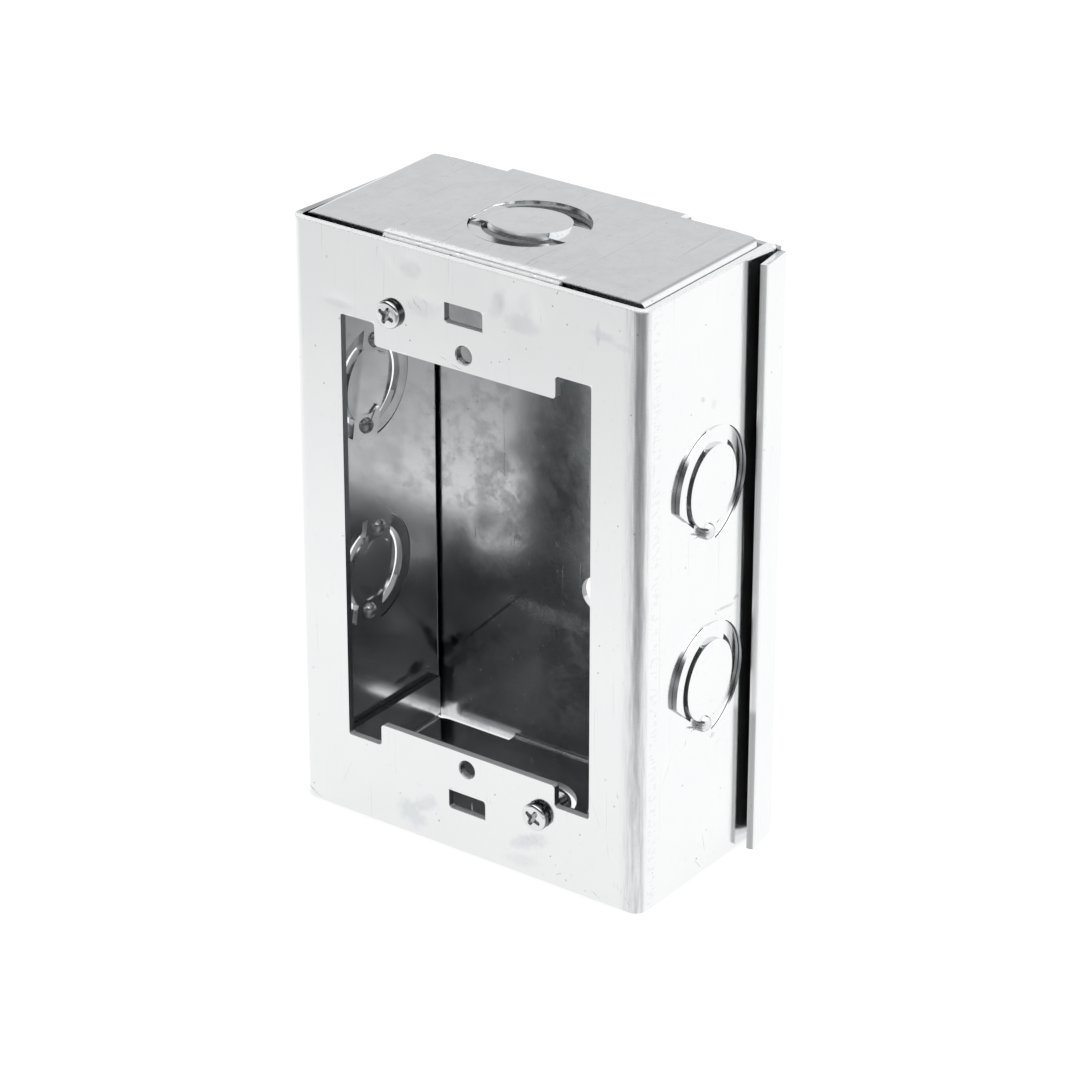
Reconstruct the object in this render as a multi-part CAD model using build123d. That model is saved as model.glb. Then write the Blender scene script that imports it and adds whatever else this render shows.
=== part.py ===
"""Flush back box for a wall device, folded from two sheets of galvanised steel.

The first sheet is the front frame with both side panels bent back from its long edges. The second is
a channel of top plate, back wall and bottom plate, whose flanges slip inside the side panels. Two
pan-head screws hold the frame to lugs on the channel.

The functions below draw the box with the front frame's face at y = 0 and run it back along +Y, with
x = 0 in the middle of the width and z = 0 on the underside of the bottom plate. The finished pieces
are then moved along Y, so that the origin lies under the middle of the depth. Sizes in millimetres.
"""
from collections import namedtuple
from math import cos, radians, sin
import os

from build123d import *

# Sheet and folds
SHEET = 1.4                     # thickness of both sheets
FRONT_BEND_INSIDE = 1.0         # inside radius between front frame and side panel
FOLD_INSIDE = 0.8               # inside radius of every other fold

# Front frame and side panels
BODY_WIDTH = 78.0               # over the side panels
PANEL_HEIGHT = 118.6            # front frame and side panels, top edge to bottom edge
SIDE_DEPTH = 40.2               # front face to the side panels' rear edge
PANEL_CORNER = 1.0              # rounding of the side panels' rear corners
LEFT_TOP_FALL = 1.7             # how far the left panel's top edge falls towards the back

# Device opening with its two ears
OPENING_WIDTH = 55.4
OPENING_HEIGHT = 85.8
EAR_WIDTH = 40.0
EAR_PAST_HOLE = 3.15            # ear's edge beyond the device hole's centre
EAR_CORNER_SHARE = 0.16         # rounding of the ears' corners, as a share of the ears' reach
OPENING_CORNER = 0.5
DEVICE_HOLE_SPACING = 83.3
DEVICE_HOLE_DIAMETER = 3.4
HOLE_CHAMFER = 0.2
YOKE_SLOT_WIDTH = 8.4
YOKE_SLOT_HEIGHT = 3.85
YOKE_SLOT_SPACING = 98.0        # centre to centre
YOKE_SLOT_CORNER = 0.7

# Screws
SCREW_OFFSET_X = 16.3           # to the left at the top, to the right at the bottom
SCREW_SPACING_Z = 91.4
SCREW_HEAD_DIAMETER = 5.9
SCREW_HEAD_HEIGHT = 1.7
SCREW_HEAD_ROUNDING = 1.1
SCREW_SHANK_DIAMETER = 3.4
SCREW_LENGTH = 8.0              # under the head
SCREW_TIP_CHAMFER = 0.5
SCREW_CLEARANCE = 0.3           # radial, in the front frame
THREAD_CLEARANCE = 0.05         # radial, in the lug
RECESS_SPAN = 3.9
RECESS_WIDTH = 1.0
RECESS_DEPTH = 1.2
RECESS_TAPER = 12.0             # degrees
RECESS_TURN = 30.0              # degrees that the screw stands turned
UPPER_SCREW_STANDOFF = 0.0      # head fully home
LOWER_SCREW_STANDOFF = 0.4      # head not quite home

# Channel of top plate, back wall and bottom plate
PLATE_RISE = 0.7                # top plate above the side panels' top edge, bottom plate the same below
REAR_GAP = 1.0                  # side panels' rear edge to the inside of the back wall
FLANGE_HEIGHT = 10.3            # side flanges, over the fold
FLANGE_CLEARANCE = 0.1          # side flange to side panel
TAB_HEIGHT = 7.5                # front tabs, over the fold
REAR_RELIEF = 2.2               # open slot between plate edge and back wall
PLATE_CORNER = 4.0              # rear corners of top and bottom plate, in plan
LUG_WIDTH = 6.0                 # lengthened part of a front tab, centred behind the screw
LUG_PAST_SCREW = 3.2            # lug beyond the screw's centre
MOUNTING_HOLE_DIAMETER = 7.0
MOUNTING_HOLE_SPACING = 50.0
LOWER_MOUNTING_HOLE_Z = 38.0

# Strips that the back wall folds forward outside the side panels
STRIP_REACH = 9.5               # forward of the back wall's outer face
STRIP_GAP = 0.3                 # between side panel and strip, at the fold
STRIP_SPLAY = 8.0               # degrees that the strip opens towards the front
STRIP_TOP_SETBACK = 1.5         # strip's top below the side panel's top edge
LEFT_STRIP_TOP_SETBACK = 4.5    # the same of the left strip
STRIP_CORNER = 2.0              # rounding of the strips' ends at the fold

# Pried knockouts
KNOCKOUT_DISC_RADIUS = 7.8
KNOCKOUT_SLOT = 1.0             # between disc and ring
KNOCKOUT_RING_RADIUS = 11.1
KNOCKOUT_SHEAR = 0.15           # between ring and plate
KNOCKOUT_TIE_WIDTH = 7.5
TIE_UNDER_DISC = 1.6            # how far a tie reaches under the disc's edge
DIMPLE_RADIUS = 1.6             # dimple punched in a tie
DIMPLE_PAST_DISC = 0.6          # dimple's centre beyond the disc's edge
CREASE_DISTANCE = 8.4           # knockout's centre to the crease past which a ring was left whole
CREASE_TURN = 240.0             # degrees from the back round to the middle of the whole stretch
SIDE_KNOCKOUT_LEAN = 11.0       # degrees that the side knockouts' ties lean back at the top
SIDE_KNOCKOUT_Y = 20.8
SIDE_KNOCKOUT_SPACING = 38.8
PLATE_KNOCKOUT_X = -0.5
PLATE_KNOCKOUT_Y = 20.6

# How far ring and disc stand out of the plate in the middle, and the degrees that raise their front
# edges. The dimples' rises are those of the first and the second tie, outwards where positive. A
# creased ring was never sheared past its crease, in the lower front, and lies flat there.
Pry = namedtuple("Pry", "ring_lift ring_tilt disc_lift disc_tilt dimple_rises creased")
RIGHT_PRY = Pry(0.15, 4.2, 0.7, 3.3, (1.2, 0.0), True)
LEFT_PRY = Pry(0.4, 2.6, 0.3, -6.0, (-1.3, -1.3), False)
TOP_PRY = Pry(-1.0, 5.0, 0.6, 5.5, (0.0, 0.0), False)
BOTTOM_PRY = Pry(-0.9, 2.0, -0.4, 2.0, (0.0, 0.0), False)

# Places that follow from the sizes above
FRONT_BEND_RADIUS = FRONT_BEND_INSIDE + SHEET
FOLD_RADIUS = FOLD_INSIDE + SHEET
HEIGHT = PANEL_HEIGHT + 2 * PLATE_RISE
MID_Z = HEIGHT / 2
BACK_INSIDE_Y = SIDE_DEPTH + REAR_GAP
DEPTH = BACK_INSIDE_Y + SHEET
PLATE_FRONT_Y = FRONT_BEND_RADIUS       # plates and flanges end where the front bends' curve ends
PLATE_REAR_Y = BACK_INSIDE_Y - REAR_RELIEF
TAB_WIDTH = 2 * SCREW_OFFSET_X + LUG_WIDTH      # the plates' folds into back wall and front tabs
CHANNEL_WIDTH = BODY_WIDTH - 2 * SHEET - 2 * FLANGE_CLEARANCE
BACK_WIDTH = BODY_WIDTH + 2 * STRIP_GAP + 2 * SHEET
PANEL_TOP_Z = PLATE_RISE + PANEL_HEIGHT
STRIP_TOP_Z = PANEL_TOP_Z - STRIP_TOP_SETBACK
LEFT_STRIP_TOP_Z = PANEL_TOP_Z - LEFT_STRIP_TOP_SETBACK
EAR_EDGE = DEVICE_HOLE_SPACING / 2 - EAR_PAST_HOLE      # ear's edge, from the opening's middle
EAR_REACH = OPENING_HEIGHT / 2 - EAR_EDGE
EAR_CORNER = EAR_CORNER_SHARE * EAR_REACH
SCREW_SPOTS = {
    "upper": (-SCREW_OFFSET_X, MID_Z + SCREW_SPACING_Z / 2, UPPER_SCREW_STANDOFF),
    "lower": (SCREW_OFFSET_X, MID_Z - SCREW_SPACING_Z / 2, LOWER_SCREW_STANDOFF),
}
FOREMOST_Y = -SCREW_HEAD_HEIGHT - max(UPPER_SCREW_STANDOFF, LOWER_SCREW_STANDOFF)
MIDDLE_Y = (FOREMOST_Y + DEPTH) / 2


def block(x_range, y_range, z_range):
    """Box between two corners."""
    size = [high - low for low, high in (x_range, y_range, z_range)]
    middle = [(high + low) / 2 for low, high in (x_range, y_range, z_range)]
    return Pos(*middle) * Box(*size)


def through_y(sketch, z=0.0, y_from=-SHEET, length=3 * SHEET, x=0.0):
    """Solid cut from a sketch drawn in X and Z, running back along Y."""
    # The XZ plane's normal is -Y, so the sketch is drawn at its far end and extruded forward.
    return extrude(Plane((x, y_from + length, z), x_dir=(1, 0, 0), z_dir=(0, -1, 0)) * sketch, length)


def edges_along(part, axis, end):
    """Edges of a part along one axis whose middle lies at the given end, such as {"Y": 0}."""
    picked = ShapeList()
    for edge in part.edges().filter_by(axis):
        middle = edge @ 0.5
        if all(abs(getattr(middle, name) - value) < 1e-4 for name, value in end.items()):
            picked.append(edge)
    return picked


def trough(width, length, height):
    """Inverted channel along Y with its outside at z = 0, folded down on both long edges."""
    outside = Pos(0, 0, -height / 2) * Box(width, length, height)
    outside = fillet(edges_along(outside, Axis.Y, {"Z": 0}), FOLD_RADIUS)
    inside = Pos(0, 0, -SHEET - height / 2) * Box(width - 2 * SHEET, length, height)
    inside = fillet(edges_along(inside, Axis.Y, {"Z": -SHEET}), FOLD_INSIDE)
    return outside - inside


class Knockout:
    """Concentric knockout in a plate, drawn in a frame whose Z leaves the plate's outer face.

    X runs from the front of the box to its back and Y along the two ties. A ring and a disc are
    punched nearly free and stand tilted about the ties.
    """

    reach = KNOCKOUT_RING_RADIUS + KNOCKOUT_SHEAR
    slot_outside = KNOCKOUT_DISC_RADIUS + KNOCKOUT_SLOT

    def __init__(self, pry):
        self.pry = pry

    def past_crease(self):
        """Room past the crease, where the ring was never sheared."""
        room = block((CREASE_DISTANCE, 2 * self.reach), (-self.reach, self.reach), (-2 * SHEET, 3 * SHEET))
        return Rot(0, 0, CREASE_TURN) * room

    def hole(self):
        """What the punch takes out of the plate."""
        ties = Box(KNOCKOUT_TIE_WIDTH, 2 * self.reach, 4 * SHEET)
        kept = ties - Cylinder(KNOCKOUT_DISC_RADIUS - TIE_UNDER_DISC, 4 * SHEET)
        if self.pry.creased:
            kept += self.past_crease()
        return Pos(0, 0, -SHEET / 2) * Cylinder(self.reach, 2 * SHEET) - kept

    def insert(self):
        """Ring and disc, each as thick as the sheet."""
        ring = Cylinder(KNOCKOUT_RING_RADIUS, SHEET) - Cylinder(self.slot_outside, 4 * SHEET)
        disc = Cylinder(KNOCKOUT_DISC_RADIUS, SHEET)
        sunk = Pos(0, 0, -SHEET / 2)
        ring = Pos(0, 0, self.pry.ring_lift) * Rot(0, self.pry.ring_tilt, 0) * sunk * ring
        if self.pry.creased:
            ring -= self.past_crease()
        return ring + Pos(0, 0, self.pry.disc_lift) * Rot(0, self.pry.disc_tilt, 0) * sunk * disc

    def dimple(self, rise):
        """Spherical cap punched out of the plate, or inwards where its rise is negative."""
        outward = rise > 0
        height = max(self.pry.disc_lift if outward else -self.pry.disc_lift, 0) + abs(rise)
        ball_radius = (DIMPLE_RADIUS ** 2 + rise ** 2) / (2 * abs(rise))
        # The ball's poles point sideways, away from the cap.
        ball = Pos(0, 0, height - ball_radius) * Rot(90, 0, 0) * Sphere(ball_radius)
        cap = ball & Pos(0, 0, (height - SHEET / 2) / 2) * Cylinder(DIMPLE_RADIUS, height + SHEET / 2)
        return cap if outward else mirror(cap, Plane.XY.offset(-SHEET / 2))

    def dimples(self):
        """The caps in the two ties, each with its base in the plate."""
        spot = KNOCKOUT_DISC_RADIUS + DIMPLE_PAST_DISC
        sides = zip((-1, 1), self.pry.dimple_rises)
        return [Pos(0, side * spot, 0) * self.dimple(rise) for side, rise in sides if rise]

    def fit_into(self, plate, place):
        """Plate with this knockout at the given place."""
        plate = plate - place * self.hole() + place * self.insert()
        for dimple in self.dimples():
            plate += place * dimple
        return plate


def side_knockout_places(side):
    """Places of a side panel's two knockouts: 1 is the right panel, -1 the left one."""
    for step in (-0.5, 0.5):
        origin = (side * BODY_WIDTH / 2, SIDE_KNOCKOUT_Y, MID_Z + step * SIDE_KNOCKOUT_SPACING)
        upright = Plane(origin, x_dir=(0, 1, 0), z_dir=(side, 0, 0)).location
        yield upright * Rot(0, 0, -side * SIDE_KNOCKOUT_LEAN)


def device_hole(z):
    """Device hole through the front frame, chamfered on its face."""
    radius = DEVICE_HOLE_DIAMETER / 2
    rim = Pos(0, HOLE_CHAMFER / 2, z) * Rot(90, 0, 0) * Cone(radius, radius + HOLE_CHAMFER, HOLE_CHAMFER)
    return through_y(Circle(radius), z) + rim


def front_openings():
    """Device opening around the two ears, yoke slots, device holes and screw holes."""
    opening = Rectangle(OPENING_WIDTH, OPENING_HEIGHT)
    for side in (-1, 1):
        ear = Rectangle(EAR_WIDTH, OPENING_HEIGHT)
        opening -= Pos(0, side * (EAR_EDGE + OPENING_HEIGHT / 2)) * ear
    ear_corners = [v for v in opening.vertices() if abs(abs(v.X) - EAR_WIDTH / 2) < 1e-4]
    if ear_corners:
        opening = fillet(ear_corners, EAR_CORNER)
    outer_corners = [v for v in opening.vertices() if abs(abs(v.X) - OPENING_WIDTH / 2) < 1e-4]
    opening = fillet(outer_corners, OPENING_CORNER)
    cuts = [through_y(opening, MID_Z)]
    for side in (-1, 1):
        slot = Rectangle(YOKE_SLOT_WIDTH, YOKE_SLOT_HEIGHT)
        rounded = [v for v in slot.vertices() if v.X * v.Y > 0]
        cuts.append(through_y(fillet(rounded, YOKE_SLOT_CORNER), MID_Z + side * YOKE_SLOT_SPACING / 2))
        cuts.append(device_hole(MID_Z + side * DEVICE_HOLE_SPACING / 2))
    for x, z, _ in SCREW_SPOTS.values():
        cuts.append(through_y(Circle(SCREW_SHANK_DIAMETER / 2 + SCREW_CLEARANCE), z, x=x))
    return cuts


def left_top_wedge():
    """What the falling top edge leaves off the left panel."""
    start, end = (FRONT_BEND_RADIUS, PANEL_TOP_Z), (SIDE_DEPTH, PANEL_TOP_Z - LEFT_TOP_FALL)
    outline = Polyline(start, end, (SIDE_DEPTH, PANEL_TOP_Z), close=True)
    return extrude(Plane.YZ.offset(-BODY_WIDTH / 2) * make_face(outline), SHEET)


def front_and_sides():
    """Front frame and both side panels, folded from one sheet."""
    low, high = PLATE_RISE, PANEL_TOP_Z
    half = BODY_WIDTH / 2
    outside = block((-half, half), (0, SIDE_DEPTH), (low, high))
    outside = fillet(edges_along(outside, Axis.Z, {"Y": 0}), FRONT_BEND_RADIUS)
    outside = fillet(edges_along(outside, Axis.X, {"Y": SIDE_DEPTH}), PANEL_CORNER)
    inside = block((SHEET - half, half - SHEET), (SHEET, DEPTH), (low - SHEET, high + SHEET))
    inside = fillet(edges_along(inside, Axis.Z, {"Y": SHEET}), FRONT_BEND_INSIDE)
    sheet = outside - inside - front_openings() - left_top_wedge()
    for side, pry in ((1, RIGHT_PRY), (-1, LEFT_PRY)):
        for place in side_knockout_places(side):
            sheet = Knockout(pry).fit_into(sheet, place)
    return sheet


def plate(z_sign):
    """Top plate (1) or bottom plate (-1) with its two side flanges."""
    length = PLATE_REAR_Y - PLATE_FRONT_Y
    shape = trough(CHANNEL_WIDTH, length, FLANGE_HEIGHT)
    plan = Rectangle(CHANNEL_WIDTH, length)
    plan = fillet([v for v in plan.vertices() if v.Y > 0], PLATE_CORNER)
    # Only the flat plate has the rounded corners: the flanges keep square ends below the fold.
    corner_cut = Rectangle(CHANNEL_WIDTH, length) - plan
    shape -= extrude(Pos(0, 0, -FOLD_RADIUS) * corner_cut, FOLD_RADIUS)
    shape = Pos(0, (PLATE_REAR_Y + PLATE_FRONT_Y) / 2, HEIGHT) * shape
    return shape if z_sign > 0 else mirror(shape, Plane.XY.offset(MID_Z))


def folded_band():
    """Middle of the channel: front tabs, folds and the strips of plate and wall between them."""
    half = TAB_WIDTH / 2
    ring = block((-half, half), (SHEET, DEPTH), (0, HEIGHT))
    ring = fillet(ring.edges().filter_by(Axis.X), FOLD_RADIUS)
    hollow = block((-half, half), (2 * SHEET, BACK_INSIDE_Y), (SHEET, HEIGHT - SHEET))
    ring -= fillet(hollow.edges().filter_by(Axis.X), FOLD_INSIDE)
    return ring - block((-half, half), (0, 2 * SHEET), (TAB_HEIGHT, HEIGHT - TAB_HEIGHT))


def lugs():
    """Parts of the front tabs that reach to the screws."""
    shapes = Part()
    for x, z, _ in SCREW_SPOTS.values():
        outer = 1 if z > MID_Z else -1
        tip = z - outer * LUG_PAST_SCREW
        root = MID_Z + outer * (HEIGHT / 2 - TAB_HEIGHT)
        low, high = min(tip, root), max(tip, root)
        shapes += block((x - LUG_WIDTH / 2, x + LUG_WIDTH / 2), (SHEET, 2 * SHEET), (low, high))
    return shapes


def lug_holes():
    """Holes through the lugs that take the screws' threads."""
    radius = SCREW_SHANK_DIAMETER / 2 + THREAD_CLEARANCE
    return [through_y(Circle(radius), z, x=x) for x, z, _ in SCREW_SPOTS.values()]


def back_wall():
    """Back wall with the two strips that fold forward outside the side panels."""
    bend_x = BACK_WIDTH / 2 - FOLD_RADIUS
    bend_y = DEPTH - FOLD_RADIUS
    turned = 90 - STRIP_SPLAY
    along = Vector(sin(radians(STRIP_SPLAY)), -cos(radians(STRIP_SPLAY)))
    normal = Vector(cos(radians(STRIP_SPLAY)), sin(radians(STRIP_SPLAY)))
    centre = Vector(bend_x, bend_y)
    outer_start = centre + normal * FOLD_RADIUS
    inner_start = centre + normal * FOLD_INSIDE
    leg = (STRIP_REACH - FOLD_RADIUS) / cos(radians(STRIP_SPLAY))
    outline = [
        Line((0, DEPTH), (bend_x, DEPTH)),
        CenterArc((bend_x, bend_y), FOLD_RADIUS, STRIP_SPLAY, turned),
        Line(outer_start, outer_start + along * leg),
        Line(outer_start + along * leg, inner_start + along * leg),
        Line(inner_start + along * leg, inner_start),
        CenterArc((bend_x, bend_y), FOLD_INSIDE, STRIP_SPLAY, turned),
        Line((bend_x, BACK_INSIDE_Y), (0, BACK_INSIDE_Y)),
        Line((0, BACK_INSIDE_Y), (0, DEPTH)),
    ]
    right = extrude(make_face(outline), STRIP_TOP_Z, dir=(0, 0, 1))
    strip = block((bend_x, BACK_WIDTH), (DEPTH - 2 * STRIP_REACH, DEPTH), (0, STRIP_TOP_Z))
    right -= strip - fillet(edges_along(strip, Axis.X, {"Y": DEPTH}), STRIP_CORNER)
    left = mirror(right, Plane.YZ)
    left -= block((-BACK_WIDTH, -bend_x), (DEPTH - 2 * STRIP_REACH, DEPTH), (LEFT_STRIP_TOP_Z, STRIP_TOP_Z))
    return right + left


def top_back_and_bottom():
    """Channel of top plate, back wall and bottom plate, folded from one sheet."""
    sheet = folded_band() + lugs() + back_wall() + plate(1) + plate(-1)
    sheet -= lug_holes()
    for step in (0, 1):
        z = LOWER_MOUNTING_HOLE_Z + step * MOUNTING_HOLE_SPACING
        sheet -= through_y(Circle(MOUNTING_HOLE_DIAMETER / 2), z, y_from=BACK_INSIDE_Y - SHEET)
    for z, normal, pry in ((HEIGHT, 1, TOP_PRY), (0, -1, BOTTOM_PRY)):
        place = Plane((PLATE_KNOCKOUT_X, PLATE_KNOCKOUT_Y, z), x_dir=(0, 1, 0), z_dir=(0, 0, normal))
        sheet = Knockout(pry).fit_into(sheet, place.location)
    return sheet


def screw(x, z, standoff):
    """Pan-head screw with a cross recess, its head in front of the frame."""
    head = Pos(0, 0, SCREW_HEAD_HEIGHT / 2) * Cylinder(SCREW_HEAD_DIAMETER / 2, SCREW_HEAD_HEIGHT)
    head = fillet(head.edges().sort_by(Axis.Z)[-1], SCREW_HEAD_ROUNDING)
    shank = Pos(0, 0, -SCREW_LENGTH / 2) * Cylinder(SCREW_SHANK_DIAMETER / 2, SCREW_LENGTH)
    shank = chamfer(shank.edges().sort_by(Axis.Z)[0], SCREW_TIP_CHAMFER)
    body = head + shank
    for turn in (0, 90):
        wing = Plane.XY.offset(SCREW_HEAD_HEIGHT) * Rot(0, 0, turn) * Rectangle(RECESS_SPAN, RECESS_WIDTH)
        body -= extrude(wing, -RECESS_DEPTH, taper=RECESS_TAPER)
    # The screw's own +Z points out of the front, along -Y of the box.
    seat = Plane((x, -standoff, z), x_dir=(1, 0, 0), z_dir=(0, -1, 0)).location
    return seat * Rot(0, 0, RECESS_TURN) * body


def write(node, shape):
    """Piece moved so that the origin lies under the middle of the depth, written to its file."""
    export_step(Pos(0, -MIDDLE_Y, 0) * shape, f"parts/{node}.step")


os.makedirs("parts", exist_ok=True)
write("front_and_sides", front_and_sides())
write("top_back_and_bottom", top_back_and_bottom())
for name, spot in SCREW_SPOTS.items():
    write(f"screw_{name}", screw(*spot))
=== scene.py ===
from math import cos, pi, radians, sin

import bmesh
import bpy
from mathutils import Matrix, Vector
from mathutils.bvhtree import BVHTree
import numpy as np


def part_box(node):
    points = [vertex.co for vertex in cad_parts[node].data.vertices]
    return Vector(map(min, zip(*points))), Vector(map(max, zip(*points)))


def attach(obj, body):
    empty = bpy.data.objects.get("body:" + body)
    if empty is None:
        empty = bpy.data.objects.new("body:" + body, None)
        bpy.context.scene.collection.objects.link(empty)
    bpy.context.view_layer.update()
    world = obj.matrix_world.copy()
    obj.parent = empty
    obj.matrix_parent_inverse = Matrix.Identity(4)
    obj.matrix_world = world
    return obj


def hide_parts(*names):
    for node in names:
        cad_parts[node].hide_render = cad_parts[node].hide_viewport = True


MM = 0.001

# Camera, as the photograph was taken (mm and degrees)
CAMERA_TARGET = (1.89, 0.05, 58.17)
CAMERA_DISTANCE = 789.9
CAMERA_AZIMUTH = 36.151
CAMERA_ELEVATION = 25.817
CAMERA_ROLL = 0.0194
CAMERA_LENS = 143.134
CAMERA_SENSOR = 36.0

# Edges of the cut sheet (mm and degrees)
EDGE_BREAK = 0.12
STRIP_EDGE_ROUNDING = 0.6               # outer edge of the strips' front ends
EDGE_ANGLE = 35.0

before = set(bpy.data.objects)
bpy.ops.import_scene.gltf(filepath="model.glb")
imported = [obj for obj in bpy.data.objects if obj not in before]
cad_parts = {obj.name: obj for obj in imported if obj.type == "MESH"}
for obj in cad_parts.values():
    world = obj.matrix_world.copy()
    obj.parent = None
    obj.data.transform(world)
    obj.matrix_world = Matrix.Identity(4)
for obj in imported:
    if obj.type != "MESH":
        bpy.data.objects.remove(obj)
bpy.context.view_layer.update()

# Places in the box, in mm
FACE_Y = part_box("front_and_sides")[0][1] / MM   # front frame's face
HALF_WIDTH = 39.0                       # middle to the side panels' outer face
TOP_Z = 120.0                           # top plate's upper face
SHEET = 1.4
FACE_BACK = FACE_Y + SHEET              # front frame's rear face
PANEL_INSIDE = HALF_WIDTH - SHEET       # middle to the side panels' inner face
BACK_INSIDE = 20.95                     # back wall's inner face
PANEL_REAR = 19.95                      # side panels' rear edge
BEND_RADIUS = 2.4
FOLD_RADIUS = 2.2
TAB_HALF_WIDTH = 19.3                   # fold between top plate and front tab
STRIP_END_Y = 13.3                      # just behind the strips' front ends

# Dents pressed into the front frame: x, z, half size across and along, turn in degrees, depth in mm
FRONT_DENTS = (
    (-14.8, 115.6, 0.8, 3.2, -35.0, -0.17),
    (-12.6, 115.0, 2.2, 3.2, -20.0, 0.17),
    (-9.3, 108.8, 3.4, 2.4, 0.0, 0.12),
    (6.7, 115.2, 0.7, 5.0, -19.0, -0.15),
    (8.4, 113.9, 1.6, 4.2, -19.0, 0.15),
    (12.8, 113.0, 3.6, 4.6, -12.0, 0.27),
    (10.4, 110.6, 0.8, 2.8, 35.0, -0.10),
    (17.0, 115.6, 0.9, 2.8, 5.0, -0.09),
    (-19.0, 117.2, 0.5, 2.4, -6.0, 0.09),
    (-28.2, 104.9, 3.0, 1.2, 0.0, 0.09),
    (29.5, 113.0, 2.0, 1.6, 0.0, 0.07),
    (-11.8, 6.4, 4.6, 2.4, -30.0, 0.10),
    (13.6, 8.0, 5.0, 1.8, 25.0, 0.10),
    (13.0, 3.6, 4.4, 1.4, 15.0, 0.09),
    (-27.8, 9.0, 0.6, 5.0, -25.0, -0.05),
)

# Bluish darker patches on the front frame, most of them at its dents: x, z, half size across and
# along, turn in degrees, strength
FRONT_DENT_TINTS = (
    (-11.4, 115.4, 2.4, 2.0, 0.0, 0.8),
    (-9.0, 108.6, 3.6, 2.0, 10.0, 0.7),
    (7.6, 113.4, 1.5, 3.6, -19.0, 0.7),
    (12.6, 110.8, 3.6, 2.0, 0.0, 0.8),
    (13.6, 114.6, 1.6, 2.6, 0.0, 0.4),
    (29.8, 113.0, 2.8, 1.1, -8.0, 0.8),
    (29.0, 113.0, 0.5, 2.4, 0.0, 0.9),
    (34.0, 111.8, 2.0, 0.7, -10.0, 0.5),
    (-28.2, 104.7, 3.4, 0.8, 0.0, 0.6),
    (-13.0, 5.0, 3.6, 2.6, -35.0, 0.9),
    (-9.6, 8.0, 3.4, 1.6, 30.0, 0.8),
    (14.2, 8.0, 4.8, 1.5, 22.0, 1.0),
    (12.6, 3.4, 4.0, 1.4, 10.0, 0.5),
)

# Short marks on the front frame: x, z, half size across and along, turn in degrees, darkness
FRONT_NICKS = (
    (-10.9, 109.2, 0.10, 1.2, 30.0, 0.4), (-9.9, 108.4, 0.10, 0.9, 38.0, 0.35),
    (-12.0, 108.3, 0.09, 0.8, 20.0, 0.3), (-8.6, 109.8, 0.09, 0.7, 50.0, 0.3),
    (-30.6, 113.2, 0.2, 0.22, 0.0, 0.6), (-1.6, 99.1, 0.12, 1.3, 76.0, 0.3),
    (-4.4, 100.0, 0.09, 0.9, 72.0, 0.3), (16.9, 112.8, 0.08, 1.2, 0.0, 0.25),
    (19.4, 115.9, 0.18, 0.3, 40.0, 0.5), (-19.1, 117.6, 0.08, 1.4, -4.0, 0.35),
    (20.4, 118.6, 0.14, 0.5, -20.0, 0.5), (-6.6, 5.4, 0.22, 0.3, 0.0, 0.5),
    (-5.9, 6.4, 0.14, 0.25, 40.0, 0.45), (-7.3, 6.6, 0.1, 0.25, -30.0, 0.4),
    (-37.2, 2.4, 0.16, 1.4, 68.0, 0.5), (-36.0, 1.6, 0.12, 1.0, 75.0, 0.4),
    (21.0, 3.4, 0.1, 0.9, -60.0, 0.4), (22.6, 2.6, 0.18, 0.28, 0.0, 0.5),
    (33.4, 5.3, 0.07, 0.8, 10.0, 0.25), (34.2, 5.1, 0.07, 0.8, 6.0, 0.25),
    (35.0, 4.6, 0.07, 0.9, 0.0, 0.25), (36.3, 2.9, 0.08, 1.1, 35.0, 0.35),
    (29.4, 1.9, 0.09, 1.2, 62.0, 0.4), (28.2, 21.0, 0.06, 2.0, 22.0, 0.2),
    (29.6, 18.0, 0.06, 2.0, 24.0, 0.2), (32.0, 12.0, 0.06, 2.2, 4.0, 0.18),
    (-28.4, 8.6, 0.06, 4.0, -24.0, 0.15), (27.0, 30.6, 0.14, 0.25, 0.0, 0.5),
    (34.0, 24.0, 0.09, 0.7, 15.0, 0.35), (-4.0, 13.0, 0.09, 0.7, -50.0, 0.35),
    (4.6, 13.6, 0.08, 0.8, 10.0, 0.2), (5.4, 13.4, 0.08, 0.8, 8.0, 0.2),
)

# Scuffs on the right panel: y, z, half size across and along, turn in degrees, darkness
SIDE_SCUFFS = (
    (6.0, 53.0, 3.2, 0.35, 8.0, 0.3), (9.5, 53.6, 0.8, 0.5, 0.0, 0.35),
    (-2.4, 97.0, 0.8, 0.5, 30.0, 0.25), (1.0, 95.0, 1.0, 0.9, 0.0, 0.12),
    (0.4, 6.6, 0.1, 2.2, -14.0, 0.3), (-1.4, 2.9, 0.1, 1.4, -40.0, 0.35),
    (-6.2, 30.2, 0.1, 0.7, 20.0, 0.4), (-4.4, 71.6, 1.5, 0.22, 24.0, 0.7),
    (-3.2, 70.8, 1.2, 0.2, -6.0, 0.7), (-4.4, 32.8, 1.5, 0.22, 24.0, 0.8),
    (-3.2, 32.0, 1.2, 0.2, -6.0, 0.8), (-1.8, 4.2, 0.25, 0.25, 0.0, 0.4),
    (-12.0, 27.0, 0.1, 4.0, 30.0, 0.15), (-7.0, 66.0, 0.25, 0.3, 0.0, 0.4),
    (2.5, 28.2, 0.9, 0.6, 0.0, 0.3),
)
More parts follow.
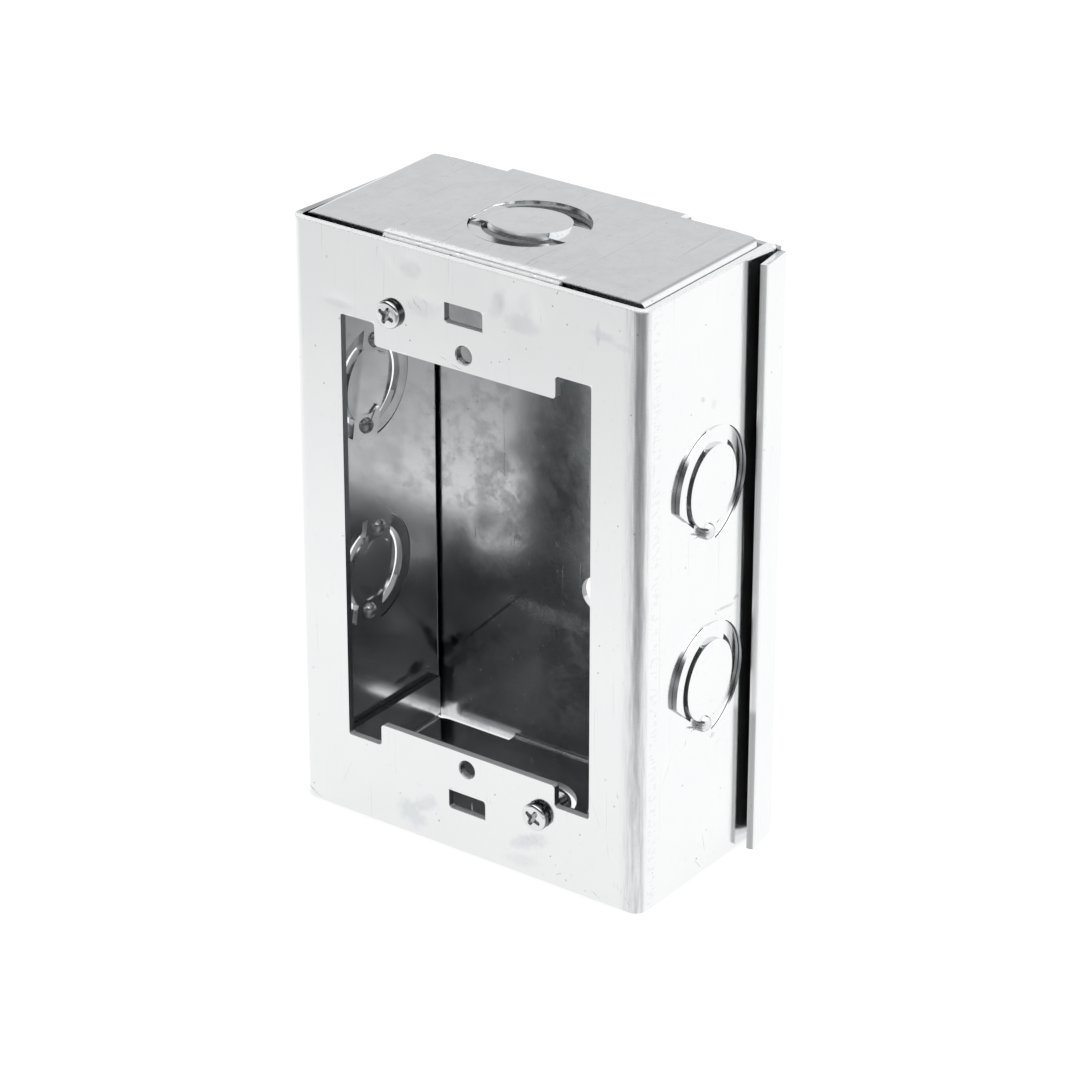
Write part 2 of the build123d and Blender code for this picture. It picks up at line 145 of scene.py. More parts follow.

# Painted shade on the back wall's inside, dark lines and patches where reflections and shadows
# fall:
# x, z, half size across and along, turn in degrees, strength
BACK_SHADE_MARKS = (
    (-24.2, 26.3, 0.35, 10.5, -45.0, 0.55), (-36.0, 16.0, 1.6, 3.4, -40.0, 0.85),
    (-33.6, 18.6, 1.0, 2.4, -45.0, 0.6), (-6.5, 76.7, 4.0, 8.0, 0.0, 0.3),
    (-5.5, 54.0, 4.0, 10.0, 0.0, 0.25),
)
# Painted glints on the back wall's inside: x, z, half size across and along, turn in degrees,
# strength
BACK_GLINTS = (
    (-9.0, 30.3, 2.2, 8.5, -90.0, 0.24), (-19.0, 31.0, 1.4, 5.0, -90.0, 0.12),
)
# Painted shade on the left panel's inside, dark reflections by the bottom flange: y, z, half size
# across and along, turn in degrees, strength
LEFT_SHADE_MARKS = (
    (12.8, 14.0, 2.6, 1.5, 0.0, 0.85), (8.5, 13.4, 2.4, 0.6, 0.0, 0.6),
)

# Screws: node, middle in x and z, how far the head stands off the frame, turn of its recess
SCREWS = (
    ("screw_upper", -16.3, 105.7, 0.0, -25.0),
    ("screw_lower", 16.3, 14.3, 0.4, -30.0),
)
HEAD_RADIUS = 2.7
HEAD_SIDE = 0.65
HEAD_HEIGHT = 1.55
SHANK_RADIUS = 1.7
SHANK_LENGTH = 8.0
THREAD_PITCH = 0.6
THREAD_DEPTH = 0.25
RECESS_ARM = 1.3                        # recess's middle to the middle of an arm's round end
RECESS_HALF_WIDTH = 0.52
RECESS_DEPTH = 1.1


class Wire:
    """An output socket of a material, on which Python's operators add Math nodes."""

    def __init__(self, tree, socket=None):
        self.tree = tree
        self.socket = socket

    def add(self, kind, settings=None, sockets=None, output=0):
        """New node: its settings are set first, then the values or links of its sockets."""
        node = self.tree.nodes.new(kind)
        for name, value in (settings or {}).items():
            setattr(node, name, value)
        for name, value in (sockets or {}).items():
            if isinstance(value, Wire):
                self.tree.links.new(value.socket, node.inputs[name])
            else:
                node.inputs[name].default_value = value
        return Wire(self.tree, node.outputs[output])

    def math(self, operation, *values):
        """Math node on up to three values."""
        return self.add("ShaderNodeMath", {"operation": operation}, dict(enumerate(values)))

    def vector(self, operation, *values, output=0):
        """Vector Math node on up to three vectors."""
        settings = {"operation": operation}
        return self.add("ShaderNodeVectorMath", settings, dict(enumerate(values)), output)

    def ramp(self, low, high, start=0.0, end=1.0):
        """Soft step from one value to another between two levels."""
        return self.add("ShaderNodeMapRange", {"interpolation_type": "SMOOTHSTEP"},
                        {0: self, 1: low, 2: high, 3: start, 4: end})

    def fade(self, low, high):
        """Soft step from 1 down to 0 between two levels."""
        return self.ramp(low, high, 1.0, 0.0)

    def noise(self, scale, detail=2.0, roughness=0.5):
        """Cloudy value between 0 and 1 at this place."""
        return self.add("ShaderNodeTexNoise", None, {
            "Vector": self, "Scale": scale, "Detail": detail, "Roughness": roughness})

    def clipped(self):
        """This value, but 1 at most."""
        return self.math("MINIMUM", self, 1.0)

    def mix(self, factor, other):
        """This colour turned towards another."""
        return self.add("ShaderNodeMix", {"data_type": "RGBA"}, {0: factor, 6: self, 7: other}, 2)

    def __add__(self, other):
        return self.math("ADD", self, other)

    def __sub__(self, other):
        return self.math("SUBTRACT", self, other)

    def __rsub__(self, other):
        return self.math("SUBTRACT", other, self)

    def __mul__(self, other):
        return self.math("MULTIPLY", self, other)

    def __truediv__(self, other):
        return self.math("DIVIDE", self, other)

    __radd__ = __add__
    __rmul__ = __mul__


def new_material(name):
    """Empty material, as a wire to build on."""
    material = bpy.data.materials.new(name)
    material.use_nodes = True
    material.node_tree.nodes.clear()
    return material, Wire(material.node_tree)


def finish_material(shader, surface="ShaderNodeOutputMaterial"):
    """Shader linked to the output."""
    output = shader.tree.nodes.new(surface)
    shader.tree.links.new(shader.socket, output.inputs["Surface"])


def place_and_parts(start):
    """Place on the object in mm, as a vector and as its three numbers."""
    place = start.add("ShaderNodeTexCoord", None, None, "Object")
    place = start.add("ShaderNodeVectorMath", {"operation": "SCALE"}, {0: place, "Scale": 1 / MM})
    parts = start.tree.nodes.new("ShaderNodeSeparateXYZ")
    start.tree.links.new(place.socket, parts.inputs[0])
    return place, *(Wire(start.tree, parts.outputs[name]) for name in "XYZ")


def spot(place, axis, middle, z, across, along, turn, ragged=None):
    """1 inside an ellipse on a face square to the axis, with a soft edge: the turned and scaled
    distance from the middle runs from 1 to 0 between 0.4 and 1.3, with a cloudy value added for a
    ragged edge."""
    centre, scale = ((middle, 0.0, z), (1 / across, 0.0, 1 / along))
    if axis == "X":
        centre, scale = ((0.0, middle, z), (0.0, 1 / across, 1 / along))
    turned = place.add("ShaderNodeVectorRotate", {"rotation_type": axis + "_AXIS"}, {
        "Vector": place, "Center": centre, "Angle": radians(turn)})
    moved = turned.vector("SUBTRACT", turned, centre)
    scaled = moved.vector("MULTIPLY", moved, scale)
    distance = scaled.vector("LENGTH", scaled, output="Value")
    if ragged:
        distance = distance + (ragged - 0.5) * 1.4
    return distance.fade(0.4, 1.3)


def spots(place, axis, rows, ragged=None):
    """Sum of the rows' spots, each times its strength."""
    total = 0.0
    for *ellipse, strength in rows:
        total = spot(place, axis, *ellipse, ragged) * strength + total
    return total


def scratches(place, turn, low, high, scale):
    """Thin lines in one direction: a cloud stretched 60 times along it, where it is strongest."""
    turned = place.add("ShaderNodeVectorRotate", {"rotation_type": "EULER_XYZ"}, {
        "Vector": place, "Rotation": tuple(radians(angle) for angle in turn)})
    stretched = turned.vector("MULTIPLY", turned, (scale, scale, scale / 60))
    return stretched.noise(1.0, 2.0).ramp(low, high)


def galvanised_sheet():
    """Bright zinc-coated steel, with the wear of handling, its sheared edges bare, and painted
    shade, glints and highlights.
    """
    material, start = new_material("galvanised_sheet")
    place, x, y, z = place_and_parts(start)
    width = x.math("ABSOLUTE", x)
    cloud = place.noise(0.06, 5.0, 0.6)
    grain = place.noise(1.1, 3.0, 0.6)
    ragged = place.noise(0.45, 4.0, 0.6)
    mottle = place.noise(0.22, 6.0, 0.7)

    # Bluish patches and nicks on the front frame's face, scuffs on the right panel
    face = y.fade(FACE_Y + 0.3, FACE_Y + 0.6)
    dent_tint = (spots(place, "Y", FRONT_DENT_TINTS, ragged) * face).clipped()
    scuff = spots(place, "X", SIDE_SCUFFS, ragged) * x.ramp(HALF_WIDTH - 0.3, HALF_WIDTH - 0.1)
    nick = spots(place, "Y", FRONT_NICKS) * face + scuff
    nick = nick * place.noise(3.0, 2.0).ramp(0.3, 0.55)

    # Specks and scratches all over, more of both on the top plate
    top = z.ramp(TOP_Z - 1.2, TOP_Z - 0.6)
    dots = start.add("ShaderNodeTexVoronoi", None, {"Vector": place, "Scale": 0.3}, "Distance")
    speck = dots.fade(0.03, 0.075) * place.noise(0.11, 2.0).ramp(0.46, 0.54)
    fine = start.add("ShaderNodeTexVoronoi", None, {"Vector": place, "Scale": 0.9}, "Distance")
    groups = place.noise(0.3, 2.0).ramp(0.5, 0.58)
    speck = speck + fine.fade(0.05, 0.14) * groups * (top * 0.5 + 0.08)
    lines = (scratches(place, (0.0, 0.0, 0.0), 0.68, 0.76, 2.4)
             + scratches(place, (25.0, 35.0, 0.0), 0.68, 0.76, 2.0)
             + scratches(place, (-60.0, 20.0, 10.0), 0.69, 0.77, 2.2)
             + scratches(place, (80.0, -15.0, 40.0), 0.69, 0.77, 2.0)
             + scratches(place, (90.0, 0.0, 55.0), 0.67, 0.75, 2.0) * top
             + scratches(place, (90.0, 0.0, -20.0), 0.67, 0.75, 2.4) * top)

    # Inside the box: mottled darkening all over, painted shade on the back wall's right part, on
    # all of the inside high up and at the bottom, and as dark marks on the back wall and the left
    # panel, and painted glints on the back wall
    inside = y.ramp(FACE_BACK + 0.1, FACE_BACK + 3.0)
    inside = inside * y.fade(BACK_INSIDE + 0.05, BACK_INSIDE + 0.35)
    inside = inside * width.fade(PANEL_INSIDE - 0.2, PANEL_INSIDE)
    inside = inside * z.ramp(0.2, 0.6) * z.fade(TOP_Z - 1.0, TOP_Z - 0.8)
    on_back = inside * y.ramp(BACK_INSIDE - 1.95, BACK_INSIDE - 0.95)
    on_left = x.ramp(-37.9, -37.7) * x.fade(-37.3, -37.1)
    inside_mottle = inside * mottle.ramp(0.44, 0.62)
    # Painted shade: the back wall darker and mottled right of x = -16 to -9 mm
    painted_back_shade = on_back * x.ramp(-16.0, -9.0) * mottle.ramp(0.36, 0.56)
    # Painted shade: dark marks on the back wall and the left panel, where reflections and shadows
    # fall
    painted_shade_marks = (spots(place, "Y", BACK_SHADE_MARKS, ragged) * on_back
             + spots(place, "X", LEFT_SHADE_MARKS, ragged) * on_left)
    # Painted glints: bright streaks on the back wall
    glint = spots(place, "Y", BACK_GLINTS, ragged) * on_back
    # Painted shade: the inside darker high up and at the bottom
    painted_inside_shade = inside * (z.ramp(40.0, 62.0) + z.fade(4.0, 6.0))

    # Rougher zinc round the right front bend, with painted shade streaked along it
    bend = x.ramp(HALF_WIDTH - 5.0, HALF_WIDTH - 1.6) * y.fade(FACE_Y + 0.9, FACE_Y + 2.4)
    streaks = place.vector("MULTIPLY", place, (1.6, 1.6, 0.12)).noise(1.0, 5.0, 0.65)
    streaked_bend_shade = bend * streaks.ramp(0.35, 0.7)
    bend_shade = bend * streaks.ramp(0.3, 0.7, 0.12, 0.4)

    # Tool marks in steps up the right panel, beside the bend
    ladder = place.vector("MULTIPLY", place, (0.2, 0.6, 1.5)).noise(1.0, 2.0).ramp(0.52, 0.6)
    ladder = (ladder * y.ramp(FACE_Y + 2.2, FACE_Y + 2.8) * y.fade(FACE_Y + 4.4, FACE_Y + 5.4)
              * x.ramp(HALF_WIDTH - 0.4, HALF_WIDTH - 0.2))

    # Cut edges, bare and dull, and the bottom flanges' ones near the side panels darker still
    sheared = start.add("ShaderNodeAttribute", {"attribute_name": "sheared"}, None, "Fac")
    near_bend = x.ramp(33.0, 33.5) * y.fade(FACE_Y + 6.0, FACE_Y + 7.0)
    sheared = (sheared * z.fade(TOP_Z - 1.2, TOP_Z - 0.9) * width.ramp(40.0, 40.3, 1.0, 0.15)
               * (1.0 - near_bend))
    upward = sheared.ramp(0.2, 0.28) * sheared.fade(0.35, 0.45)
    dark_flange_edges = (sheared * z.fade(28.0, 30.0) * width.ramp(34.0, 35.0)
                   * y.ramp(FACE_Y + 2.0, FACE_Y + 3.0) * 3.0).clipped()

    # Rubbed white on the fold of the front tab, the top edges of the frame and of the right panel,
    # and the strips' front ends; the same white, dull finish paints highlights on the frame's cut
    # faces that face up and the glints on the back wall's inside
    fold = (z.ramp(TOP_Z - 1.6, TOP_Z - 1.0) * y.ramp(FACE_Y + 1.5, FACE_Y + 1.7)
            * y.fade(FACE_Y + 3.2, FACE_Y + 5.0)
            * width.fade(TAB_HALF_WIDTH, TAB_HALF_WIDTH + 0.5))
    on_frame = y.fade(FACE_BACK, FACE_BACK + 0.1)
    edges = z.ramp(TOP_Z - 1.0, TOP_Z - 0.85) * (
        on_frame + x.ramp(PANEL_INSIDE - 0.1, PANEL_INSIDE))
    ends = width.ramp(40.2, 41.0) * y.fade(STRIP_END_Y + 0.2, STRIP_END_Y + 0.8)
    # Painted highlight: the frame's cut faces that face up
    slot_floor_highlight = upward * on_frame
    rubbed_and_highlight = (fold * place.noise(0.7, 5.0, 0.7).ramp(0.3, 0.5) + edges * 0.85 + ends * 0.55
              + slot_floor_highlight * 0.8 + glint).clipped()
    # Painted shade on the left panel's top edge
    left_edge_shade = (x.fade(-PANEL_INSIDE, 0.1 - PANEL_INSIDE)
                 * z.ramp(TOP_Z - 1.2, TOP_Z - 0.9) * y.ramp(FACE_Y + 2.0, FACE_Y + 3.0))

    # Painted shade in the seams round the top plate and in the gaps behind the side panels
    beside = width.ramp(36.9, 37.1) * y.ramp(FACE_Y + 1.36, FACE_Y + 1.39)
    before = y.ramp(FACE_Y + 1.36, FACE_Y + 1.39) * y.fade(FACE_Y + 2.1, FACE_Y + 2.3)
    seam = (z.ramp(TOP_Z - 3.0, TOP_Z - 2.6) * z.fade(TOP_Z - 1.0, TOP_Z - 0.75)
            * (beside + before).clipped() * width.fade(37.61, 37.7))
    gap = (width.ramp(PANEL_INSIDE - 0.1, PANEL_INSIDE + 0.1) * width.fade(39.5, 39.8)
           * y.ramp(PANEL_REAR - 0.1, PANEL_REAR) * y.fade(BACK_INSIDE + 0.05, BACK_INSIDE + 0.25))
    painted_shade = (seam + gap * 0.85).clipped()

    colour = start.add("ShaderNodeMix", {"data_type": "RGBA"}, {
        0: cloud.ramp(0.3, 0.7), 6: (0.93, 0.935, 0.94, 1.0), 7: (0.95, 0.952, 0.953, 1.0)}, 2)
    colour = colour.mix(top * mottle.ramp(0.35, 0.7) * 0.3, (0.74, 0.76, 0.78, 1.0))
    colour = colour.mix(painted_inside_shade * 0.45, (0.5, 0.515, 0.525, 1.0))
    colour = colour.mix(dent_tint * 0.55, (0.72, 0.76, 0.79, 1.0))
    colour = colour.mix((inside_mottle * 0.35 + painted_back_shade * 0.5).clipped(), (0.42, 0.45, 0.47, 1.0))
    colour = colour.mix(streaked_bend_shade * 0.35 + ladder * 0.14, (0.5, 0.53, 0.56, 1.0))
    colour = colour.mix(bend_shade + left_edge_shade * 0.8, (0.42, 0.43, 0.44, 1.0))
    colour = colour.mix(rubbed_and_highlight, (0.95, 0.95, 0.945, 1.0))
    colour = colour.mix(sheared * 0.85, (0.30, 0.31, 0.32, 1.0))
    dark = (nick + speck * 0.45 + lines * (0.08 + top * 0.1) + painted_shade + dark_flange_edges + painted_shade_marks).clipped()
    colour = colour.mix(dark, (0.07, 0.075, 0.08, 1.0))
    roughness = (0.11 + cloud * 0.05 + dent_tint * 0.1 + lines * 0.04 + bend * 0.14 + rubbed_and_highlight * 0.35
                 + sheared * 0.2 + inside_mottle * 0.08 + on_back * 0.05)
    relief = grain * 0.01 + nick * -0.05 + lines * -0.012
    bump = start.add("ShaderNodeBump", None, {"Strength": 0.5, "Distance": MM, "Height": relief})
    shader = start.add("ShaderNodeBsdfPrincipled", None, {
        "Base Color": colour, "Metallic": 1.0 - rubbed_and_highlight * 0.6, "Roughness": roughness,
        "Normal": bump})
    finish_material(shader)
    return material


def zinc_plated_screw():
    """Bright plated steel of the screws, with painted shade in the recesses and a painted dark
    reflection round the heads' sides.
    """
    material, start = new_material("zinc_plated_screw")
    place, _, y, _ = place_and_parts(start)
    cloud = place.noise(0.9, 3.0)
    painted_shade = 0.0
    for _, middle_x, middle_z, standoff, _ in SCREWS:
        moved = place.vector("SUBTRACT", place, (middle_x, 0.0, middle_z))
        moved = moved.vector("MULTIPLY", moved, (1.0, 0.0, 1.0))
        radius = moved.vector("LENGTH", moved, output="Value")
        crown = FACE_Y - standoff - HEAD_HEIGHT
        near = radius.fade(4.0, 5.0)
        # Painted shade in the recess, and a painted dark reflection on the head's side
        recess = radius.fade(1.8, 2.0) * y.ramp(crown + 0.2, crown + 0.6) * 0.55
        side = radius.ramp(HEAD_RADIUS - 0.25, HEAD_RADIUS - 0.1)
        side = side * y.ramp(crown + 0.45, crown + 0.75)
        painted_shade = near * (recess + side * 0.93) + painted_shade
    colour = start.add("ShaderNodeMix", {"data_type": "RGBA"}, {
        0: painted_shade.clipped(), 6: (0.86, 0.87, 0.875, 1.0), 7: (0.07, 0.075, 0.08, 1.0)}, 2)
    shader = start.add("ShaderNodeBsdfPrincipled", None, {
        "Base Color": colour, "Metallic": 1.0, "Roughness": 0.1 + cloud * 0.1})
    finish_material(shader)
    return material


def dented_front(places):
    """Front frame's dents. Each adds its depth along Y times exp(-u^2 - v^2), where u and v are the
    distances along the dent's own axes over its half sizes. Only the frame's plate moves."""
    x, y, z = places.T
    push = np.zeros(len(places))
    for at_x, at_z, across, along, turn, depth in FRONT_DENTS:
        away_x, away_z = x - at_x, z - at_z
        u = (away_x * cos(radians(turn)) - away_z * sin(radians(turn))) / across
        v = (away_x * sin(radians(turn)) + away_z * cos(radians(turn))) / along
        push += depth * np.exp(-u ** 2 - v ** 2)
    plate = (y < FACE_Y + SHEET + 0.05) & (np.abs(x) < HALF_WIDTH - BEND_RADIUS)
    moved = places.copy()
    moved[:, 1] += np.where(plate, push, 0.0)
    return moved


def drawn_folds(places):
    """Top plate drawn down beside its folds. Its flat part sinks by 0.12 mm times
    exp(-((d - 2) / 1.4)^2), where d is the distance in from the nearest fold or side edge."""
    x, y, z = places.T
    to_front = y - (FACE_Y + SHEET + FOLD_RADIUS)
    to_side = HALF_WIDTH - SHEET - FOLD_RADIUS - np.abs(x)
    inward = np.minimum(to_front, to_side)
    sink = 0.12 * np.exp(-((inward - 2.0) / 1.4) ** 2)
    plate = (z > TOP_Z - SHEET - 0.05) & (inward > 0)
    moved = places.copy()
    moved[:, 2] -= np.where(plate, sink, 0.0)
    return moved


def strip_end(edge):
    """Whether an edge is the outer upright one at a strip's front end."""
    return all(abs(v.co.x) > 41.2 * MM and v.co.y < STRIP_END_Y * MM for v in edge.verts)


def mark_sheared_faces(work):
    """Attribute that is 1 on the sheet's cut edges: faces behind which the metal is thicker than
    the sheet. On edges that face up it is 0.3, as painted light: they take less of the dark edge
    colour."""
    layer = work.faces.layers.float.new("sheared")
    work.normal_update()
    tree = BVHTree.FromBMesh(work)
    largest = {}
    for loops in work.calc_loop_triangles():
        a, b, c = (loop.vert.co for loop in loops)
        size = (b - a).cross(c - a).length
        if size > largest.get(loops[0].face, (0,))[0]:
            largest[loops[0].face] = (size, (a + b + c) / 3)
    for face, (_, middle) in largest.items():
        start = middle - face.normal * 0.01 * MM
        _, _, _, depth = tree.ray_cast(start, -face.normal, 2.2 * SHEET * MM)
        # Painted light: cut faces that face up take less of the dark edge colour
        share = 0.3 if face.normal.z > 0.5 else 1.0
        face[layer] = share * (depth is None or depth > 1.1 * SHEET * MM)


def sheet_piece(name, node, material, cuts, shaping):
    """Folded sheet: the CAD node's solid with its cut edges lightly broken and its faces cut at the
    given places along X, Y and Z, so that the shaping can move their points."""
    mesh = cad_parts[node].data.copy()
    mesh.name = name
    work = bmesh.new()
    work.from_mesh(mesh)
    bmesh.ops.remove_doubles(work, verts=work.verts, dist=1e-6)
    bmesh.ops.dissolve_limit(work, angle_limit=radians(0.3), verts=work.verts, edges=work.edges)
    for offset, segments, wanted in ((STRIP_EDGE_ROUNDING, 4, strip_end), (EDGE_BREAK, 2, None)):
        sharp = [edge for edge in work.edges
                 if edge.is_manifold and edge.calc_face_angle() > radians(EDGE_ANGLE)
                 and (wanted is None or wanted(edge))]
        bmesh.ops.bevel(work, geom=sharp, offset=offset * MM, segments=segments, profile=0.5,
                        affect="EDGES", clamp_overlap=True)
    mark_sheared_faces(work)
    for axis, places in enumerate(cuts):
        normal = Vector([float(axis == n) for n in range(3)])
        for cut in places:
            bmesh.ops.bisect_plane(work, geom=work.verts[:] + work.edges[:] + work.faces[:],
                                   dist=1e-7, plane_co=normal * float(cut) * MM, plane_no=normal)
    work.to_mesh(mesh)
    work.free()
    flat = np.empty(len(mesh.vertices) * 3, np.float32)
    mesh.vertices.foreach_get("co", flat)
    mesh.vertices.foreach_set("co", (shaping(flat.reshape(-1, 3) / MM) * MM).ravel())
    mesh.materials.clear()
    mesh.materials.append(material)
    mesh.polygons.foreach_set("use_smooth", np.ones(len(mesh.polygons), bool))
    mesh.set_sharp_from_angle(angle=radians(EDGE_ANGLE))
    piece = bpy.data.objects.new(name, mesh)
    bpy.context.scene.collection.objects.link(piece)
    weighted = piece.modifiers.new("flat_faces", "WEIGHTED_NORMAL")
    weighted.keep_sharp = True
    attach(piece, "root")
    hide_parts(node)
    return piece


def grid_piece(name, points, material, node=None, closed=True):
    """Piece from a grid of points in mm, rows by columns, whose columns may close on themselves."""
    rows, columns, _ = points.shape
    index = np.arange(rows * columns).reshape(rows, columns)
    beside = np.roll(index, -1, axis=1)
    quads = np.stack((index[:-1], beside[:-1], beside[1:], index[1:]), axis=-1)
    if not closed:
        quads = quads[:, :-1]
    mesh = bpy.data.meshes.new(name)
    mesh.from_pydata(points.reshape(-1, 3) * MM, [], quads.reshape(-1, 4).tolist())
    work = bmesh.new()
    work.from_mesh(mesh)
    bmesh.ops.remove_doubles(work, verts=work.verts, dist=1e-7)
    bmesh.ops.recalc_face_normals(work, faces=work.faces)
    work.to_mesh(mesh)
    work.free()
    mesh.materials.append(material)
    mesh.polygons.foreach_set("use_smooth", np.ones(len(mesh.polygons), bool))
    mesh.set_sharp_from_angle(angle=radians(40.0))
    piece = bpy.data.objects.new(name, mesh)
    bpy.context.scene.collection.objects.link(piece)
    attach(piece, "root")
    if node:
        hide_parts(node)
    return piece


def screw(node, middle_x, middle_z, standoff, turn, material):
    """Pan-head screw: a profile turned about its axis. The shank's radius rises and falls by the
    thread's depth as a zigzag of length over pitch plus angle over a turn. The head has a straight
    side, a round shoulder and a low crown. Its recess is a cross of two round-ended arms: the crown
    sinks by the recess's depth, less towards the arms' ends, over a soft step at their outline."""
    angle = np.linspace(0, 2 * pi, 180, endpoint=False)
    along = np.linspace(SHANK_LENGTH, 0, 130)
    shank = np.minimum(SHANK_RADIUS, SHANK_RADIUS - 0.5 + SHANK_LENGTH - along)
    step = np.linspace(0, 1, 12)[1:]
    shoulder = HEAD_HEIGHT - HEAD_SIDE - 0.2
    crown_radius = HEAD_RADIUS - 0.8
    inward = np.linspace(crown_radius, 0, 56)[1:]
    radius = np.concatenate(([0], shank, [HEAD_RADIUS - 0.08, HEAD_RADIUS], HEAD_RADIUS + 0 * step,
                             crown_radius + 0.8 * np.cos(step * pi / 2), inward))
    depth = np.concatenate(([SHANK_LENGTH], along, [0, -0.08], -0.08 - (HEAD_SIDE - 0.08) * step,
                            -HEAD_SIDE - shoulder * np.sin(step * pi / 2),
                            -HEAD_HEIGHT + 0.2 * (inward / crown_radius) ** 2))
    radius, depth = (np.repeat(values[:, None], len(angle), axis=1) for values in (radius, depth))
    phase = (depth / THREAD_PITCH + angle / (2 * pi)) % 1.0
    threaded = slice(1, len(along))
    radius[threaded] -= THREAD_DEPTH * np.abs(2 * phase[threaded] - 1)

    across = radius * np.cos(angle - radians(turn))
    upward = radius * np.sin(angle - radians(turn))
    arms = [np.hypot(np.maximum(np.abs(a) - RECESS_ARM, 0), b)
            for a, b in ((across, upward), (upward, across))]
    softness = 0.18
    arm = -softness * np.log(np.exp(-arms[0] / softness) + np.exp(-arms[1] / softness))
    level = np.clip((RECESS_HALF_WIDTH - arm) / 0.22, 0, 1)
    sunk = RECESS_DEPTH * (1 - 0.3 * radius / RECESS_ARM) * level ** 2 * (3 - 2 * level)
    depth = depth + np.where(depth < -HEAD_HEIGHT + 0.25, sunk, 0)
    points = np.stack((middle_x + radius * np.cos(angle), FACE_Y - standoff + depth,
                       middle_z + radius * np.sin(angle)), axis=-1)
    piece = grid_piece(node.replace("screw", "pan_head_screw"), points, material, node)


def torn_rim(material):
    """Torn metal on the left of the top knockout's hole: half a round bead along the hole's rim,
    whose height and width waver as sums of sines."""
    way = np.linspace(0, 1, 90)[:, None]
    over = np.linspace(0, pi, 15)[None, :]
    turn = radians(150.0) + radians(52.0) * way
    waver = 0.75 + 0.15 * np.sin(9 * way) + 0.1 * np.sin(17 * way)
    size = np.sin(pi * way) ** 0.5 * waver
    radius = 10.9 + 0.2 * np.sin(8 * way) + 0.75 * size * np.cos(over)
    points = np.stack((-0.5 + radius * np.cos(turn), 0.35 + radius * np.sin(turn),
                       TOP_Z - 0.1 + 0.35 * size * np.sin(over)), axis=-1)
    piece = grid_piece("torn_rim", points, material, closed=False)


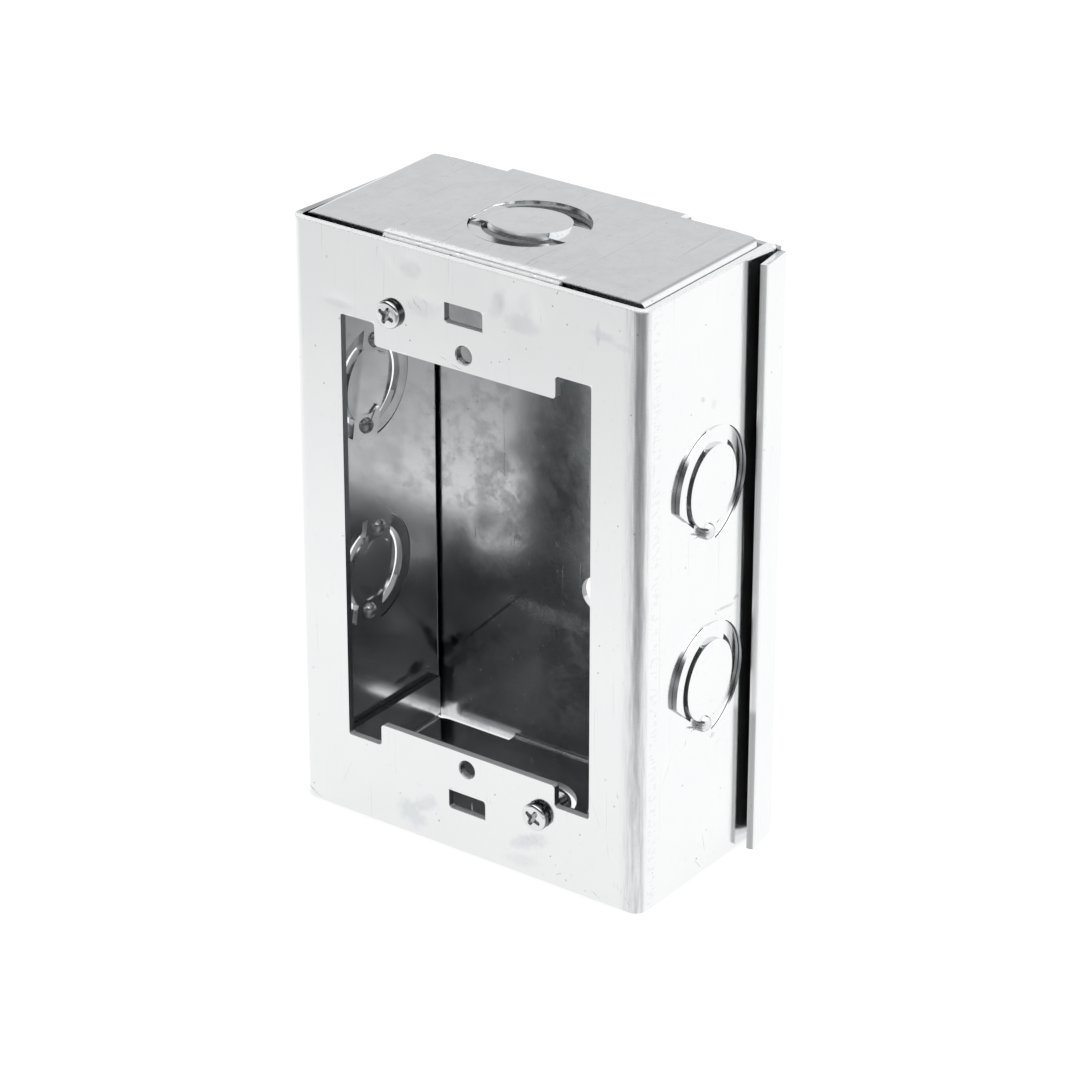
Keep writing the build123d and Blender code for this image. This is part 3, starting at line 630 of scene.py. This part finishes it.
def floor_and_world():
    """Pale floor and soft studio light, with a dark room behind the camera."""
    mesh = bpy.data.meshes.new("floor")
    half = 4.0
    mesh.from_pydata([(-half, -half, 0), (half, -half, 0), (half, half, 0), (-half, half, 0)], [],
                     [(0, 1, 2, 3)])
    floor = bpy.data.objects.new("floor", mesh)
    bpy.context.scene.collection.objects.link(floor)
    material, start = new_material("white_floor")
    rays = start.tree.nodes.new("ShaderNodeLightPath")
    camera_ray, glossy_ray = (Wire(start.tree, rays.outputs[name])
                              for name in ("Is Camera Ray", "Is Glossy Ray"))
    place, _, y, _ = place_and_parts(start)
    # The floor in front of the right front edge mirrors darker
    aside = place.vector("DOT_PRODUCT", place, (0.875, -0.485, 0.0), output="Value")
    shade = aside.ramp(46.0, 110.0) * y.fade(FACE_Y - 75.0, FACE_Y - 25.0)
    glow_share = 0.85
    ahead = y.fade(FACE_Y, FACE_Y + 1.0) * y.ramp(FACE_Y - 230.0, FACE_Y - 60.0, 0.3, 0.08)
    level = camera_ray * 1.11 + glossy_ray * (1.045 - ahead - shade * 0.55)
    matt = start.add("ShaderNodeBsdfDiffuse", None, {"Color": (0.9, 0.9, 0.9, 1.0)})
    glow = start.add("ShaderNodeEmission", None, {"Color": (1.0, 1.0, 1.0, 1.0), "Strength": level})
    finish_material(start.add("ShaderNodeMixShader", None, {
        "Fac": (camera_ray + glossy_ray) * glow_share, 1: matt, 2: glow}))
    mesh.materials.append(material)

    world = bpy.data.worlds.new("studio")
    world.use_nodes = True
    world.node_tree.nodes.clear()
    start = Wire(world.node_tree)
    way = start.add("ShaderNodeTexCoord", None, None, "Generated")
    parts = start.tree.nodes.new("ShaderNodeSeparateXYZ")
    start.tree.links.new(way.socket, parts.inputs[0])
    right, ahead, height = (Wire(start.tree, parts.outputs[name]) for name in "XYZ")
    rays = start.tree.nodes.new("ShaderNodeLightPath")
    camera_ray = Wire(start.tree, rays.outputs["Is Camera Ray"])
    left_rear = height.ramp(0.0, 0.2, 1.0, 0.66) - height.ramp(0.45, 0.68, 0.0, 0.26)
    right_rear = right.ramp(-0.15, 0.2) * height.fade(0.75, 0.9)
    rear = left_rear + right_rear * (1.05 - left_rear)
    overhead = height.ramp(0.68, 0.82, 0.0, 1.5)
    behind_camera = ahead.fade(-0.5, 0.1) * height.ramp(0.1, 0.35)
    level = rear * (1.0 - behind_camera * 0.93) + overhead
    level = level * (1.0 - camera_ray) + camera_ray
    tint = start.add("ShaderNodeMix", {"data_type": "RGBA"}, {
        0: camera_ray, 6: (0.975, 0.99, 1.0, 1.0), 7: (1.0, 1.0, 1.0, 1.0)}, 2)
    finish_material(start.add("ShaderNodeBackground", None, {
        "Color": tint, "Strength": level}), "ShaderNodeOutputWorld")
    bpy.context.scene.world = world


def camera():
    """Camera at the photograph's place, with no shift."""
    azimuth, elevation, roll = (
        radians(angle) for angle in (CAMERA_AZIMUTH, CAMERA_ELEVATION, CAMERA_ROLL))
    ahead = Vector((-sin(azimuth) * cos(elevation), cos(azimuth) * cos(elevation), -sin(elevation)))
    right = Vector((cos(azimuth), sin(azimuth), 0))
    up = right.cross(ahead)
    turned_right = right * cos(roll) + up * sin(roll)
    turned_up = up * cos(roll) - right * sin(roll)
    data = bpy.data.cameras.new("camera")
    data.lens = CAMERA_LENS
    data.sensor_width = CAMERA_SENSOR
    data.sensor_fit = "HORIZONTAL"
    data.clip_start = 0.05
    data.clip_end = 20.0
    eye = bpy.data.objects.new("camera", data)
    axes = Matrix((turned_right, turned_up, -ahead)).transposed().to_4x4()
    place = (Vector(CAMERA_TARGET) - ahead * CAMERA_DISTANCE) * MM
    eye.matrix_world = Matrix.Translation(place) @ axes
    bpy.context.scene.collection.objects.link(eye)
    bpy.context.scene.camera = eye


zinc = galvanised_sheet()
plated = zinc_plated_screw()
front_grid = (np.arange(-36.0, 36.1, 1.0), (),
              np.concatenate((np.arange(1.5, 16.1, 1.0), np.arange(100.5, 119.1, 0.75))))
fold_steps = np.arange(0.5, 6.1, 0.5)
plate_edge = HALF_WIDTH - SHEET - FOLD_RADIUS
top_grid = (np.concatenate((fold_steps - plate_edge, plate_edge - fold_steps)),
            fold_steps + FACE_Y + SHEET + FOLD_RADIUS, ())
sheet_piece("front_sheet", "front_and_sides", zinc, front_grid, dented_front)
sheet_piece("channel_sheet", "top_back_and_bottom", zinc, top_grid, drawn_folds)
for values in SCREWS:
    screw(*values, plated)
torn_rim(zinc)
floor_and_world()
camera()
bpy.context.scene.view_settings.view_transform = "Standard"
